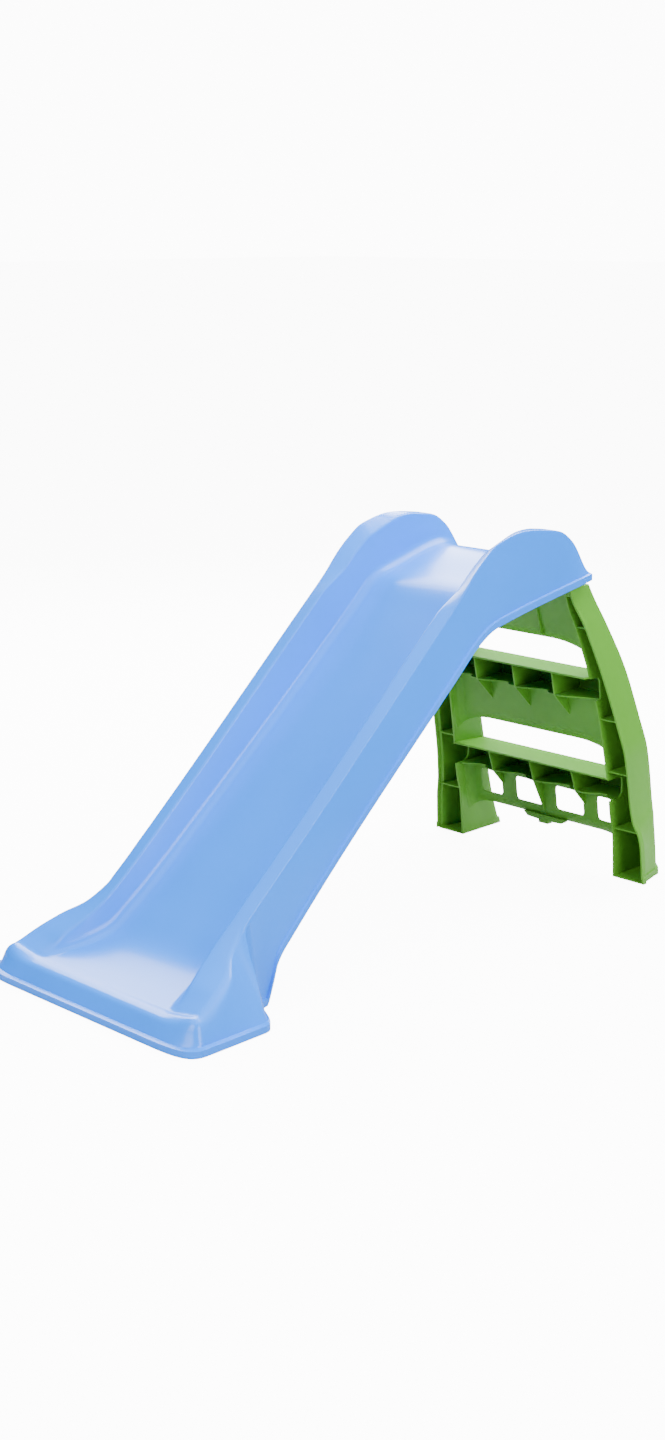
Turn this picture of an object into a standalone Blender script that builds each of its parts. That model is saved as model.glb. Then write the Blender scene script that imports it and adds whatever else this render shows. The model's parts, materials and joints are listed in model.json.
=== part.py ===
"""Toddler slide: one thin blue slide moulding and one green ladder that folds under it.

Metres, +Z up.  X is the width, and both mouldings are symmetric about X = 0.  The child comes
down towards -Y, and the ladder stands at +Y.  The origin is on the floor, under the middle.

Both mouldings are thin walls.  Each is divided at its natural boundaries into named solids, so
that every solid keeps a simple shape: the slide into chute, exit foot, platform and handrails,
the ladder into rails, steps, riser panels and storage catch.
"""
import math

import bmesh
import bpy
from mathutils import Matrix, Vector

# ---------------------------------------------------------------- driving dimensions
GAP = 0.0002                # half of the space left between touching solids
RAIL_GAP = 0.0007           # space between a handrail and the platform, along the skin
SLIDE_WALL = 0.003          # thickness of the slide's skin
LADDER_WALL = 0.003         # thickness of the ladder's skin
RIB_WALL = 0.0024           # thickness of its ribs and gussets

EXIT_FRONT_Y = -0.534       # front edge of the slide
FOOT_TURN_Y = -0.491        # the front corners turn about points at this Y
CORNER_SQUARE = 0.50        # how much squarer than an ellipse a front corner is at its edge
FOOT_TOP_Y = -0.278         # where the chute meets the exit foot
DECK_Y = 0.110              # where the chute meets the platform
REAR_Y = 0.3545             # rear edge of the slide
REAR_EDGE_Z = 0.4935        # height of that edge
BAND = 0.011                # height of the border that stands out along the bottom of the wall
BAND_SLOPE = 0.001          # fall of the border's top towards its outer edge
REAR_TURN = 0.003           # drop of the skin over its last millimetre, where it turns down
OVERRUN = 0.006             # how far a skin runs on past its end before it is cut square

PIVOT_Y = 0.325             # fold axis of the ladder, along X
PIVOT_Z = 0.503
PIN_RADIUS = 0.0050
PIN_CLEARANCE = 0.00008
PIN_INNER_X = 0.1225
PIN_OUTER_X = 0.1440
HEAD_RADIUS = 0.0140        # rounded top of each rail, about the pivot
HEAD_IN_X = 0.1295
HEAD_OUT_X = 0.1385

RAIL_TOP_Z = 0.484
RAIL_LIP = 0.0045           # how far the front border of a rail's outer wall stands out
RAIL_LIP_WIDE = 0.0085
SOLE = 0.0035               # thickness of the plate under each ladder foot
SKIN_LIFT = 0.0012          # height at which the skin starts, just above the sole's underside
TOE_BORDER = 0.0040         # how far the border round the foot stands out
TOE_BORDER_Z = 0.0115       # and its height
RIB_LEVELS = (0.085, 0.182, 0.270, 0.420)
STEP_PLATE = 0.003          # thickness of a step's top, nosing and shelf
NOSE_RADIUS = 0.008         # rounding of its rear edge
PANEL_ARCH = 2.5            # width over height of the arched ends of a panel's lower edge
CATCH_Y = 0.4560            # middle of the storage catch, and its thickness along Y
CATCH_DEPTH = 0.013

GREEN = (0.190, 0.470, 0.075, 1.0)
BLUE = (0.130, 0.440, 0.900, 1.0)
PIN_GREY = (0.80, 0.80, 0.78, 1.0)

# ---------------------------------------------------------------- curves along the slide
# Each curve is a set of (Y, value) knots that smooth() reads between.
RIM_Z = ((-0.491, 0.044), (-0.460, 0.0575), (-0.425, 0.0735), (-0.395, 0.093), (-0.340, 0.137),
         (0.010, 0.450), (0.070, 0.505), (0.098, 0.535), (0.123, 0.556), (0.150, 0.5725),
         (0.210, 0.5848), (0.260, 0.5800), (0.293, 0.573), (0.321, 0.556), (0.343, 0.528),
         (0.3535, 0.5065))
# How far the rim's inner edge lies below its outer edge, RIM_Z.
RIM_DROP = ((-0.491, 0.0095), (-0.471, 0.0065), (-0.450, 0.0), (-0.420, -0.003),
            (0.040, -0.003), (0.070, 0.006), (0.092, 0.016), (0.150, 0.015), (0.180, 0.0115),
            (0.215, 0.004), (0.250, 0.0), (0.3535, 0.0))
BED_Z = ((-0.491, 0.0340), (-0.430, 0.0440), (-0.392, 0.0560), (-0.350, 0.0850),
         (-0.307, 0.118), (0.100, 0.4560), (0.134, 0.4862), (0.146, 0.4942), (0.158, 0.4990),
         (0.175, 0.5036), (0.290, 0.5285), (0.333, 0.519), (0.3535, 0.5035))
HEM_Z = ((-0.491, 0.0), (-0.334, 0.0), (-0.322, 0.026), (-0.312, 0.056), (-0.285, 0.087),
         (0.055, 0.398), (0.090, 0.429), (0.125, 0.449), (0.165, 0.459), (0.3535, 0.4935))
BED_X = ((-0.491, 0.130), (-0.450, 0.121), (-0.418, 0.113), (-0.380, 0.107), (-0.300, 0.103),
         (0.3535, 0.103))
RIM_IN_X = ((-0.491, 0.145), (-0.471, 0.138), (-0.450, 0.132), (-0.418, 0.122),
            (-0.383, 0.1165), (-0.340, 0.1150), (0.3535, 0.1150))
RIM_OUT_X = ((-0.491, 0.2000), (-0.460, 0.195), (-0.425, 0.180), (-0.393, 0.150),
             (-0.360, 0.1395), (0.3535, 0.1385))
HEM_X = ((-0.491, 0.2125), (-0.398, 0.2125), (-0.388, 0.2095), (-0.380, 0.2015),
         (-0.345, 0.1540), (-0.325, 0.1500), (0.3535, 0.1500))
BAND_OUT = ((-0.491, 0.0085), (-0.400, 0.0080), (-0.340, 0.0040), (0.3535, 0.0040))

# ---------------------------------------------------------------- curves up the ladder
# Each curve is a set of (Z, value) knots.  The front of the ladder faces the slide.
RAIL_IN_X = ((0.0, 0.160), (0.130, 0.1605), (0.200, 0.1580), (0.265, 0.1545), (0.340, 0.1460),
             (0.420, 0.1345), (0.455, 0.1290), (0.484, 0.1290))
RAIL_OUT_X = ((0.0, 0.2150), (0.062, 0.2125), (0.084, 0.2085), (0.104, 0.2025), (0.140, 0.1990),
              (0.215, 0.1965), (0.265, 0.1870), (0.340, 0.1710), (0.420, 0.1535), (0.470, 0.1430),
              (0.526, 0.1385))
RAIL_FRONT_Y = ((0.0, 0.4290), (0.080, 0.4215), (0.105, 0.4140), (0.170, 0.4030),
                (0.250, 0.3865), (0.340, 0.3645), (0.400, 0.3455), (0.484, 0.3135))
RAIL_BACK_IN_Y = ((0.0, 0.5361), (0.060, 0.5150), (0.165, 0.4890), (0.265, 0.4600),
                  (0.340, 0.4390), (0.420, 0.4035), (0.484, 0.3680))
RAIL_BACK_OUT_Y = ((0.0, 0.4900), (0.100, 0.4830), (0.165, 0.4760), (0.265, 0.4560),
                   (0.340, 0.4370), (0.420, 0.4015), (0.484, 0.3670))

# Each riser panel: (Y, Z) of one point in its middle plane, and its lean dY/dZ.
PANEL_LOWER = (0.4475, 0.102, -0.16)
PANEL_MIDDLE = (0.4060, 0.260, -0.22)
PANEL_TOP = (0.3640, 0.395, -0.36)

# Each step: the tread's front and back, its top at both, and the shelf below it.
STEP_LOWER = {"front": 0.4010, "back": 0.4860, "top": 0.1716, "rear_top": 0.1670,
              "shelf": 0.1310, "shelf_front": 0.4190, "panel": PANEL_LOWER,
              "gussets": ((-0.0865, 0.1020), (0.0, 0.0680), (0.0865, 0.1020))}
STEP_UPPER = {"front": 0.3510, "back": 0.4300, "top": 0.3405, "rear_top": 0.3370,
              "shelf": 0.2990, "shelf_front": 0.3645, "panel": PANEL_MIDDLE,
              "gussets": ((-0.080, 0.2595), (0.0, 0.2595), (0.080, 0.2595))}
# Front, back, bottom and top of the opening in each rail's inner wall at the end of a step.
STEP_CUTS = ((0.380, 0.441, 0.1355, 0.1655), (0.330, 0.388, 0.3040, 0.3340))
# Left and right edges of the windows in the lower panel, and their bottom, top and corners.
WINDOWS = ((-0.134, -0.0890), (-0.0590, -0.0040), (0.0254, 0.0830), (0.1110, 0.1420))
WINDOW_LOW, WINDOW_HIGH, WINDOW_RADIUS = 0.0820, 0.1240, 0.007
# The shelf's front edge between two gussets: (share of the way across, distance back).
SHELF_WAVE = ((0.0, 0.0), (0.12, -0.001), (0.25, 0.003), (0.38, 0.010), (0.50, 0.0145),
              (0.62, 0.016), (0.71, 0.0155), (0.77, 0.0110), (0.83, 0.0040), (0.91, 0.0015))


# ---------------------------------------------------------------- small helpers
def smooth(place, knots):
    """Value at a place on a curve through the knots that never overshoots them."""
    if place <= knots[0][0]:
        return knots[0][1]
    if place >= knots[-1][0]:
        return knots[-1][1]
    gaps = [b[0] - a[0] for a, b in zip(knots, knots[1:])]
    slopes = [(b[1] - a[1]) / gap for a, b, gap in zip(knots, knots[1:], gaps)]
    tangents = [slopes[0]]
    for left, right in zip(slopes, slopes[1:]):
        tangents.append(0.0 if left * right <= 0 else 2 * left * right / (left + right))
    tangents.append(slopes[-1])
    k = max(i for i in range(len(gaps)) if knots[i][0] <= place)
    t = (place - knots[k][0]) / gaps[k]
    a, b = knots[k][1], knots[k + 1][1]
    ta, tb = tangents[k] * gaps[k], tangents[k + 1] * gaps[k]
    return (a * (2 * t**3 - 3 * t**2 + 1) + ta * (t**3 - 2 * t**2 + t)
            + b * (3 * t**2 - 2 * t**3) + tb * (t**3 - t**2))


def spread(start, end, count):
    """Evenly spaced places from start to end, both included."""
    return [start + (end - start) * i / (count - 1) for i in range(count)]


def rounded(corners, setbacks, steps):
    """A polyline through corners, each rounded by a curve that starts a setback away.

    A corner with no steps stays sharp.
    """
    points = [corners[0]]
    for k in range(1, len(corners) - 1):
        corner = corners[k]
        if steps[k] == 0:
            points.append(corner)
            continue
        before = corners[k - 1] - corner
        after = corners[k + 1] - corner
        reach = min(setbacks[k], 0.45 * before.length, 0.45 * after.length)
        start = corner + before.normalized() * reach
        end = corner + after.normalized() * reach
        for i in range(steps[k] + 1):
            t = i / steps[k]
            points.append(start * (1 - t)**2 + corner * 2 * t * (1 - t) + end * t**2)
    points.append(corners[-1])
    return points


def arc(centre, radius, start, end, count):
    """Points on a circular arc in a plane, with the angles in degrees."""
    return [(centre[0] + radius * math.cos(math.radians(a)),
             centre[1] + radius * math.sin(math.radians(a))) for a in spread(start, end, count)]


def material(name, colour, roughness, metallic=0.0):
    made = bpy.data.materials.new(name)
    made.use_nodes = True
    shader = made.node_tree.nodes["Principled BSDF"]
    shader.inputs["Base Color"].default_value = colour
    shader.inputs["Roughness"].default_value = roughness
    shader.inputs["Metallic"].default_value = metallic
    return made


def add_object(name, mesh, collection, finish):
    made = bpy.data.objects.new(name, mesh)
    collection.objects.link(made)
    mesh.materials.append(finish)
    return made


def mirrored(rows):
    return [[Vector((-p.x, p.y, p.z)) for p in row] for row in rows]


def sheet(name, grids, thickness, collection, finish):
    """A thin wall: open surfaces lofted through rows of points, thickened behind the skin.

    Each grid is (rows, flip); flip turns the side that counts as the skin.
    """
    mesh = bpy.data.meshes.new(name)
    bm = bmesh.new()
    for rows, flip in grids:
        grid = [[bm.verts.new(point) for point in row] for row in rows]
        for row, next_row in zip(grid, grid[1:]):
            for i in range(len(row) - 1):
                loop = [row[i], row[i + 1], next_row[i + 1], next_row[i]]
                bm.faces.new(loop[::-1] if flip else loop)
    bmesh.ops.remove_doubles(bm, verts=bm.verts, dist=1e-6)
    bm.to_mesh(mesh)
    bm.free()
    mesh.shade_smooth()
    made = add_object(name, mesh, collection, finish)
    wall = made.modifiers.new("wall", "SOLIDIFY")
    wall.thickness = thickness
    wall.offset = -1.0
    wall.use_even_offset = True
    wall.use_quality_normals = True
    return made


PLATE_TURNS = {"X": Matrix(((0, 0, 1), (1, 0, 0), (0, 1, 0))),
               "Y": Matrix(((1, 0, 0), (0, 0, -1), (0, 1, 0))),
               "Z": Matrix.Identity(3)}


def plate(name, loops, depth, across, centre, collection, finish):
    """A flat plate: an outline with holes, extruded by depth about a centre across one axis.

    The outline lies in (Y, Z) across X, in (X, Z) across Y and in (X, Y) across Z.
    """
    curve = bpy.data.curves.new(name, "CURVE")
    curve.dimensions = "2D"
    curve.fill_mode = "BOTH"
    curve.extrude = depth / 2
    for loop in loops:
        spline = curve.splines.new("POLY")
        spline.points.add(len(loop) - 1)
        spline.use_cyclic_u = True
        for point, (u, v) in zip(spline.points, loop):
            point.co = (u, v, 0.0, 1.0)
    outline = bpy.data.objects.new(name + "_outline", curve)
    collection.objects.link(outline)
    depsgraph = bpy.context.evaluated_depsgraph_get()
    mesh = bpy.data.meshes.new_from_object(outline.evaluated_get(depsgraph))
    bpy.data.objects.remove(outline)
    bm = bmesh.new()
    bm.from_mesh(mesh)
    bmesh.ops.remove_doubles(bm, verts=bm.verts, dist=1e-6)
    bm.transform(PLATE_TURNS[across].to_4x4())
    offset = {"X": (centre, 0, 0), "Y": (0, centre, 0), "Z": (0, 0, centre)}[across]
    bmesh.ops.translate(bm, verts=bm.verts, vec=offset)
    bmesh.ops.recalc_face_normals(bm, faces=bm.faces)
    bm.to_mesh(mesh)
    bm.free()
    mesh.name = name
    return add_object(name, mesh, collection, finish)


def combine(made, other, operation):
    """Join another solid to an object, or cut it away."""
    step = made.modifiers.new(other.name, "BOOLEAN")
    step.operation = operation
    step.solver = "EXACT"
    step.object = other
    other.hide_render = True
    other.display_type = "WIRE"


def cylinder_along_x(name, radius, x_from, x_to, collection, finish, sides=32):
    mesh = bpy.data.meshes.new(name)
    bm = bmesh.new()
    bmesh.ops.create_cone(bm, cap_ends=True, segments=sides, radius1=radius, radius2=radius,
                          depth=abs(x_to - x_from))
    bm.transform(Matrix.Rotation(math.pi / 2, 4, "Y"))
    bm.to_mesh(mesh)
    bm.free()
    made = add_object(name, mesh, collection, finish)
    made.location = ((x_from + x_to) / 2, PIVOT_Y, PIVOT_Z)
    return made


def cut_square(made, low_y, high_y, guides, finish):
    """Cut a skin's ends off at planes across Y, so that neighbours meet face to face."""
    for y, beyond in ((low_y, -1), (high_y, 1)):
        if y is None:
            continue
        mesh = bpy.data.meshes.new(made.name + "_end")
        bm = bmesh.new()
        bmesh.ops.create_cube(bm, size=1.0)
        bmesh.ops.translate(bm, verts=bm.verts, vec=(0.0, y + beyond * 0.5, 0.3))
        bm.to_mesh(mesh)
        bm.free()
        combine(made, add_object(mesh.name, mesh, guides, finish), "DIFFERENCE")


# ---------------------------------------------------------------- the slide's skin
ROUND_STEPS = (0, 3, 2, 3, 0, 0, 0)    # divisions of each rounded corner of a section
BED_POINT = 1                          # index of the first point of a half row on a fillet
WALL_POINT = BED_POINT + ROUND_STEPS[1]     # index of the last one, where the wall begins
BORDER_POINTS = 2                      # the last points of a half row, on the border


def half_section(y):
    """Corners of the right half of the slide's skin at a station, from the middle outwards."""
    bed_z = smooth(y, BED_Z)
    rim_z = smooth(y, RIM_Z)
    hem_x = smooth(y, HEM_X)
    band_x = hem_x + smooth(y, BAND_OUT)
    band_z = smooth(y, HEM_Z) + BAND
    corners = ((0.0, bed_z), (smooth(y, BED_X), bed_z),
               (smooth(y, RIM_IN_X), rim_z - smooth(y, RIM_DROP)), (smooth(y, RIM_OUT_X), rim_z),
               (hem_x, band_z), (band_x, band_z - BAND_SLOPE), (band_x, band_z - BAND))
    return [Vector((x, y, z)) for x, z in corners]


def corner_setbacks(y):
    """How far each corner's rounding reaches: crisp along the chute, soft on the exit foot."""
    soft = min(1.0, max(0.0, (-0.395 - y) / 0.06))
    return (0.0, 0.016, 0.004 + 0.003 * soft, 0.007 + 0.010 * soft, 0.0, 0.0, 0.0)


def half_row(y):
    return rounded(half_section(y), corner_setbacks(y), ROUND_STEPS)


def rear_rows(half):
    """Two more rows that turn the skin down at the rear edge."""
    edge = [Vector((p.x, REAR_Y, max(REAR_EDGE_Z, p.z - REAR_TURN))) for p in half]
    return [edge, [Vector((p.x, REAR_Y, REAR_EDGE_Z)) for p in edge]]


def deck_half_rows():
    stations = spread(DECK_Y - OVERRUN, 0.290, 10) + [0.305, 0.319, 0.331, 0.341, 0.3485, 0.3535]
    rows = [half_row(y) for y in stations]
    return rows + rear_rows(rows[-1])


def both_halves(half):
    """A whole row, from the left hem over the middle to the right hem."""
    return [Vector((-p.x, p.y, p.z)) for p in reversed(half[1:])] + half


def build_chute(collection, guides, finish):
    stations = ([FOOT_TOP_Y - OVERRUN, -0.200, -0.100, 0.0]
                + spread(0.040, DECK_Y + OVERRUN, 6))
    rows = [both_halves(half_row(y)) for y in stations]
    made = sheet("chute", [(rows, False)], SLIDE_WALL, collection, finish)
    cut_square(made, FOOT_TOP_Y + GAP, DECK_Y - GAP, guides, finish)


def build_platform(collection, guides, finish):
    rows = [both_halves(half[:WALL_POINT + 1]) for half in deck_half_rows()]
    made = sheet("platform", [(rows, False)], SLIDE_WALL, collection, finish)
    cut_square(made, DECK_Y + GAP, None, guides, finish)


def build_handrail(side, collection, guides, finish):
    name = "handrail_right" if side > 0 else "handrail_left"
    rows = []
    for half in deck_half_rows():
        wall = half[WALL_POINT:]
        wall[0] = wall[0] + (wall[1] - wall[0]).normalized() * RAIL_GAP
        rows.append(wall)
    if side < 0:
        rows = mirrored(rows)
    turned = [row[:-BORDER_POINTS] for row in rows[-3:]]
    made = sheet(name, [(rows[:-2], side < 0), (turned, side < 0)], SLIDE_WALL, collection, finish)
    cut_square(made, DECK_Y + GAP, None, guides, finish)


def foot_front_row():
    """The skin from the bed's front over the rounded bar down to the floor, at X = 0."""
    reach = EXIT_FRONT_Y - FOOT_TURN_Y
    corners = ((0.0, 0.0340), (0.0, 0.0340), (0.20 * reach, 0.0338), (0.50 * reach, 0.0315),
               (0.83 * reach, 0.0110), (reach, 0.0100), (reach, 0.0))
    corners = [Vector((0.0, FOOT_TURN_Y + y, z)) for y, z in corners]
    corners[1].y -= 0.003
    setbacks = (0.0, 0.0013, 0.003, 0.010, 0.0, 0.0, 0.0)
    return rounded(corners, setbacks, ROUND_STEPS)[1:]


def build_exit_foot(collection, guides, finish):
    """The flat end of the chute, with flared sides and a flange all round on the floor."""
    stations = ([FOOT_TURN_Y] + spread(-0.475, -0.415, 5) + [-0.404, -0.398, -0.393, -0.388]
                + [-0.384, -0.380, -0.370, -0.358, -0.345, -0.334, -0.328, -0.322, -0.316]
                + [-0.309, -0.300, -0.290, FOOT_TOP_Y + OVERRUN])
    side_rows = [half_row(y) for y in stations]
    side = side_rows[0][BED_POINT:]
    front = foot_front_row()
    turn = side[0]
    front[0] = Vector((0.0, turn.y, turn.z))
    ring = [front]
    for angle in spread(90.0, 9.0, 10):
        out, ahead = math.cos(math.radians(angle)), math.sin(math.radians(angle))
        row = []
        for k, (s, f) in enumerate(zip(side, front)):
            square = 1.0 - CORNER_SQUARE * k / (len(side) - 1)
            row.append(Vector((turn.x + (s.x - turn.x) * out**square,
                               turn.y + (f.y - turn.y) * ahead**square,
                               s.z + (f.z - s.z) * ahead**2)))
        ring.append(row)
    ring += [row[BED_POINT:] for row in side_rows]
    bed = [[Vector((-row[BED_POINT].x, row[0].y, row[0].z)), row[0], row[BED_POINT]]
           for row in side_rows]
    grids = [(ring, False), (mirrored(ring), True), (bed, False)]
    made = sheet("exit_foot", grids, SLIDE_WALL, collection, finish)
    cut_square(made, None, FOOT_TOP_Y - GAP, guides, finish)


# ---------------------------------------------------------------- the ladder
def toe_border(z):
    """How far the border round the foot pushes the skin out at a height."""
    return TOE_BORDER if z < TOE_BORDER_Z else 0.0


RAIL_ROUND_STEPS = (0, 3, 3, 0, 0, 0)   # divisions of each rounded corner of a rail's section
CHANNEL_POINTS = 10                     # points of a section before its front border


def rail_row(z):
    """The rail's skin at a height: inner wall, back and outer wall of a channel open in front."""
    border = toe_border(z)
    lip = RAIL_LIP * min(1.0, max(0.0, (0.460 - z) / 0.030))
    in_x, out_x = smooth(z, RAIL_IN_X), smooth(z, RAIL_OUT_X) + 0.4 * border
    front = smooth(z, RAIL_FRONT_Y)
    back_in = smooth(z, RAIL_BACK_IN_Y) + border
    back_out = smooth(z, RAIL_BACK_OUT_Y) + border
    corners = ((in_x, front), (in_x, back_in), (out_x - 0.002, back_out),
               (out_x, front + RAIL_LIP_WIDE + 0.0012), (out_x + lip, front + RAIL_LIP_WIDE),
               (out_x + lip, front))
    return rounded([Vector((x, y, z)) for x, y in corners],
                   (0.0, 0.016, 0.012, 0.0, 0.0, 0.0), RAIL_ROUND_STEPS)


def rail_fill(z, inset, front_inset):
    """Outline of the channel at a height, for a sole or a rib that fills it."""
    front = smooth(z, RAIL_FRONT_Y)
    row = [Vector((p.x, p.y, 0.0)) for p in rail_row(z)[:CHANNEL_POINTS]]
    row.append(Vector((row[-1].x, front, 0.0)))
    middle = sum(row, Vector()) / len(row)
    moved = [p + (middle - p).normalized() * inset for p in row]
    return [(p.x, max(p.y, front + front_inset)) for p in moved]


def build_rail(side, collection, guides, finish):
    name = "rail_right" if side > 0 else "rail_left"
    levels = [SKIN_LIFT, 0.0108, 0.0125, 0.040, 0.070, 0.084, 0.095, 0.106, 0.125, 0.165, 0.215,
              0.245, 0.270, 0.305, 0.340, 0.380, 0.420, 0.430, 0.445, 0.460, 0.472, RAIL_TOP_Z]
    rows = [rail_row(z) for z in levels]
    if side < 0:
        rows = mirrored(rows)
    made = sheet(name, [(rows, side > 0)], LADDER_WALL, collection, finish)
    sole = plate(name + "_sole", [[(side * x, y) for x, y in rail_fill(0.0, 0.0015, 0.001)]],
                 SOLE, "Z", SOLE / 2, guides, finish)
    combine(made, sole, "UNION")
    for level in RIB_LEVELS:
        outline = [(side * x, y) for x, y in rail_fill(level, 0.0016, 0.004)]
        rib = plate(name + "_rib", [outline], RIB_WALL, "Z", level, guides, finish)
        combine(made, rib, "UNION")
    head = (arc((PIVOT_Y, PIVOT_Z), HEAD_RADIUS, -35, 190, 16)
            + [(0.3195, 0.4700), (0.3420, 0.4650), (0.3520, 0.4740)])
    head = plate(name + "_head", [head], HEAD_OUT_X - HEAD_IN_X, "X",
                 side * (HEAD_OUT_X + HEAD_IN_X) / 2, guides, finish)
    combine(made, head, "UNION")
    hole = cylinder_along_x(name + "_hole", PIN_RADIUS + PIN_CLEARANCE, side * 0.120,
                            side * 0.150, guides, finish)
    combine(made, hole, "DIFFERENCE")
    for front, back, low, high in STEP_CUTS:
        corners = [Vector((front, low, 0)), Vector((back, low, 0)), Vector((back, high, 0)),
                   Vector((front, high, 0))]
        ring = rounded(corners, (0, 0.008, 0.008, 0), (0, 3, 3, 0))
        cut = plate(name + "_cut", [[(p.x, p.y) for p in ring]], 0.016, "X",
                    side * (smooth(low, RAIL_IN_X) - 0.002), guides, finish)
        combine(made, cut, "DIFFERENCE")
    return made


def panel_y(panel, z):
    """Y of a riser panel's middle plane at a height."""
    return panel[0] + panel[2] * (z - panel[1])


def panel_sides(bottom, top, corner):
    """Outline of a riser panel between the rails, with an arched lower edge."""
    right = [(smooth(z, RAIL_IN_X) - 4 * GAP, z) for z in spread(bottom - corner, top, 13)]
    reach = right[0][0]
    arch = [(reach - PANEL_ARCH * corner * (1 - math.cos(math.radians(a))),
             bottom - corner + corner * math.sin(math.radians(a))) for a in (90, 67, 45, 22)]
    half = arch + right
    return half + [(-x, z) for x, z in reversed(half)]


def window(left, right, low, high, radius):
    """A rounded rectangular loop."""
    loop = []
    for x, z, start in ((right, high, 0), (left, high, 90), (left, low, 180), (right, low, 270)):
        centre = (x - math.copysign(radius, x - (left + right) / 2),
                  z - math.copysign(radius, z - (low + high) / 2))
        loop += arc(centre, radius, start, start + 90, 4)
    return loop


def build_panel(name, panel, loops, collection, finish):
    made = plate(name, loops, LADDER_WALL, "Y", 0.0, collection, finish)
    for vertex in made.data.vertices:
        vertex.co.y += panel_y(panel, vertex.co.z)
    return made


def build_panels(collection, finish):
    windows = [window(left, right, WINDOW_LOW, WINDOW_HIGH, WINDOW_RADIUS)
               for left, right in WINDOWS]
    return [build_panel("panel_lower", PANEL_LOWER,
                        [panel_sides(0.0645, 0.1305, 0.020)] + windows, collection, finish),
            build_panel("panel_middle", PANEL_MIDDLE, [panel_sides(0.2220, 0.2985, 0.027)],
                        collection, finish),
            build_panel("panel_top", PANEL_TOP, [panel_sides(0.3900, 0.4780, 0.030)],
                        collection, finish)]


def shelf_edge(gussets, front, reach):
    """Front edge of a shelf, a skewed wave in each bay between the gussets and the rails."""
    posts = [-reach] + [x for x, tip in gussets] + [reach]
    edge = []
    for left, right in zip(posts, posts[1:]):
        edge += [(left + share * (right - left), front + back) for share, back in SHELF_WAVE]
    return edge + [(reach, front)]


def build_step(name, step, collection, guides, finish):
    """A hollow tread: top and nosing, a scalloped shelf below, and gussets that stiffen it."""
    front, back, shelf = step["front"], step["back"], step["shelf"]
    top, rear_top, shelf_front = step["top"], step["rear_top"], step["shelf_front"]
    turn = (back - NOSE_RADIUS, rear_top - NOSE_RADIUS)
    turned = arc(turn, NOSE_RADIUS, 70, 0, 5)
    inner = arc(turn, NOSE_RADIUS - STEP_PLATE, 0, 70, 5)
    outline = ([(front, top)] + turned
               + [(back, shelf - 0.0006), (back - STEP_PLATE, shelf - 0.0006)]
               + inner + [(front, top - STEP_PLATE)])
    reach = 0.150
    made = plate(name, [outline], 2 * reach, "X", 0.0, collection, finish)
    edge = shelf_edge(step["gussets"], shelf_front, reach)
    shelf_plate = plate(name + "_shelf", [edge + [(reach, back - 0.0015), (-reach, back - 0.0015)]],
                        STEP_PLATE, "Z", shelf + STEP_PLATE / 2, guides, finish)
    for solid in (made, shelf_plate):
        for vertex in solid.data.vertices:
            if abs(vertex.co.x) > 0.99 * reach:
                end = smooth(vertex.co.z, RAIL_IN_X) - 2 * GAP
                vertex.co.x = math.copysign(end, vertex.co.x)
    combine(made, shelf_plate, "UNION")
    for x, tip in step["gussets"]:
        skin = [(panel_y(step["panel"], z) - LADDER_WALL / 2 - 2 * GAP, z)
                for z in (tip, shelf - 0.0006)]
        rib = ([(front + 0.004, top - 0.0015), (shelf_front - 0.001, shelf + 0.001)] + skin
               + [(skin[1][0], shelf + 0.0015), (back - 0.0015, shelf + 0.0015),
                  (back - 0.0015, rear_top - 0.006), (back - 0.006, rear_top - 0.0020)])
        combine(made, plate(name + "_gusset", [rib], RIB_WALL, "X", x, guides, finish), "UNION")
    return made


def build_catch(collection, finish):
    """The tab under the lower panel that holds the ladder when it is folded away."""
    outline = [(-0.045, 0.0640), (-0.035, 0.0575), (-0.012, 0.0560), (-0.012, 0.0510),
               (0.008, 0.0510), (0.008, 0.0560), (0.035, 0.0575), (0.045, 0.0640)]
    return plate("storage_catch", [outline], CATCH_DEPTH, "Y", CATCH_Y, collection, finish)


def build_ladder(collection, guides, finish):
    """Every solid of the ladder, parented to an empty on the fold axis."""
    made = [build_rail(side, collection, guides, finish) for side in (1, -1)]
    made += build_panels(collection, finish)
    made.append(build_step("step_lower", STEP_LOWER, collection, guides, finish))
    made.append(build_step("step_upper", STEP_UPPER, collection, guides, finish))
    made.append(build_catch(collection, finish))
    pivot = bpy.data.objects.new("ladder_pivot", None)
    pivot.location = (0.0, PIVOT_Y, PIVOT_Z)
    collection.objects.link(pivot)
    for solid in made:
        solid.parent = pivot
        solid.matrix_parent_inverse = Matrix.Translation((0.0, -PIVOT_Y, -PIVOT_Z))


def main():
    for old in list(bpy.data.objects):
        bpy.data.objects.remove(old)
    parts = bpy.data.collections.new("toddler_slide")
    guides = bpy.data.collections.new("guides")
    for collection in (parts, guides):
        bpy.context.scene.collection.children.link(collection)
    blue = material("blue_plastic", BLUE, 0.28)
    green = material("green_plastic", GREEN, 0.45)
    white = material("pin_plastic", PIN_GREY, 0.40)
    build_chute(parts, guides, blue)
    build_exit_foot(parts, guides, blue)
    build_platform(parts, guides, blue)
    for side in (1, -1):
        build_handrail(side, parts, guides, blue)
        pin = "pivot_pin_right" if side > 0 else "pivot_pin_left"
        cylinder_along_x(pin, PIN_RADIUS, side * PIN_INNER_X, side * PIN_OUTER_X, parts, white)
    build_ladder(parts, guides, green)


main()
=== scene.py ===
"""The looks of the toddler slide, in coloured moulded plastic.

The slide is one continuous skin, and the ladder is made of touching pieces of one colour.  Both
are built again here at a finer mesh, from sections like the CAD's, and stand for the CAD nodes
they replace.  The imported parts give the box, the bodies, the pivot and the material slots.
"""

import json
import math

import bmesh
import bpy
from mathutils import Matrix, Vector


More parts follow.
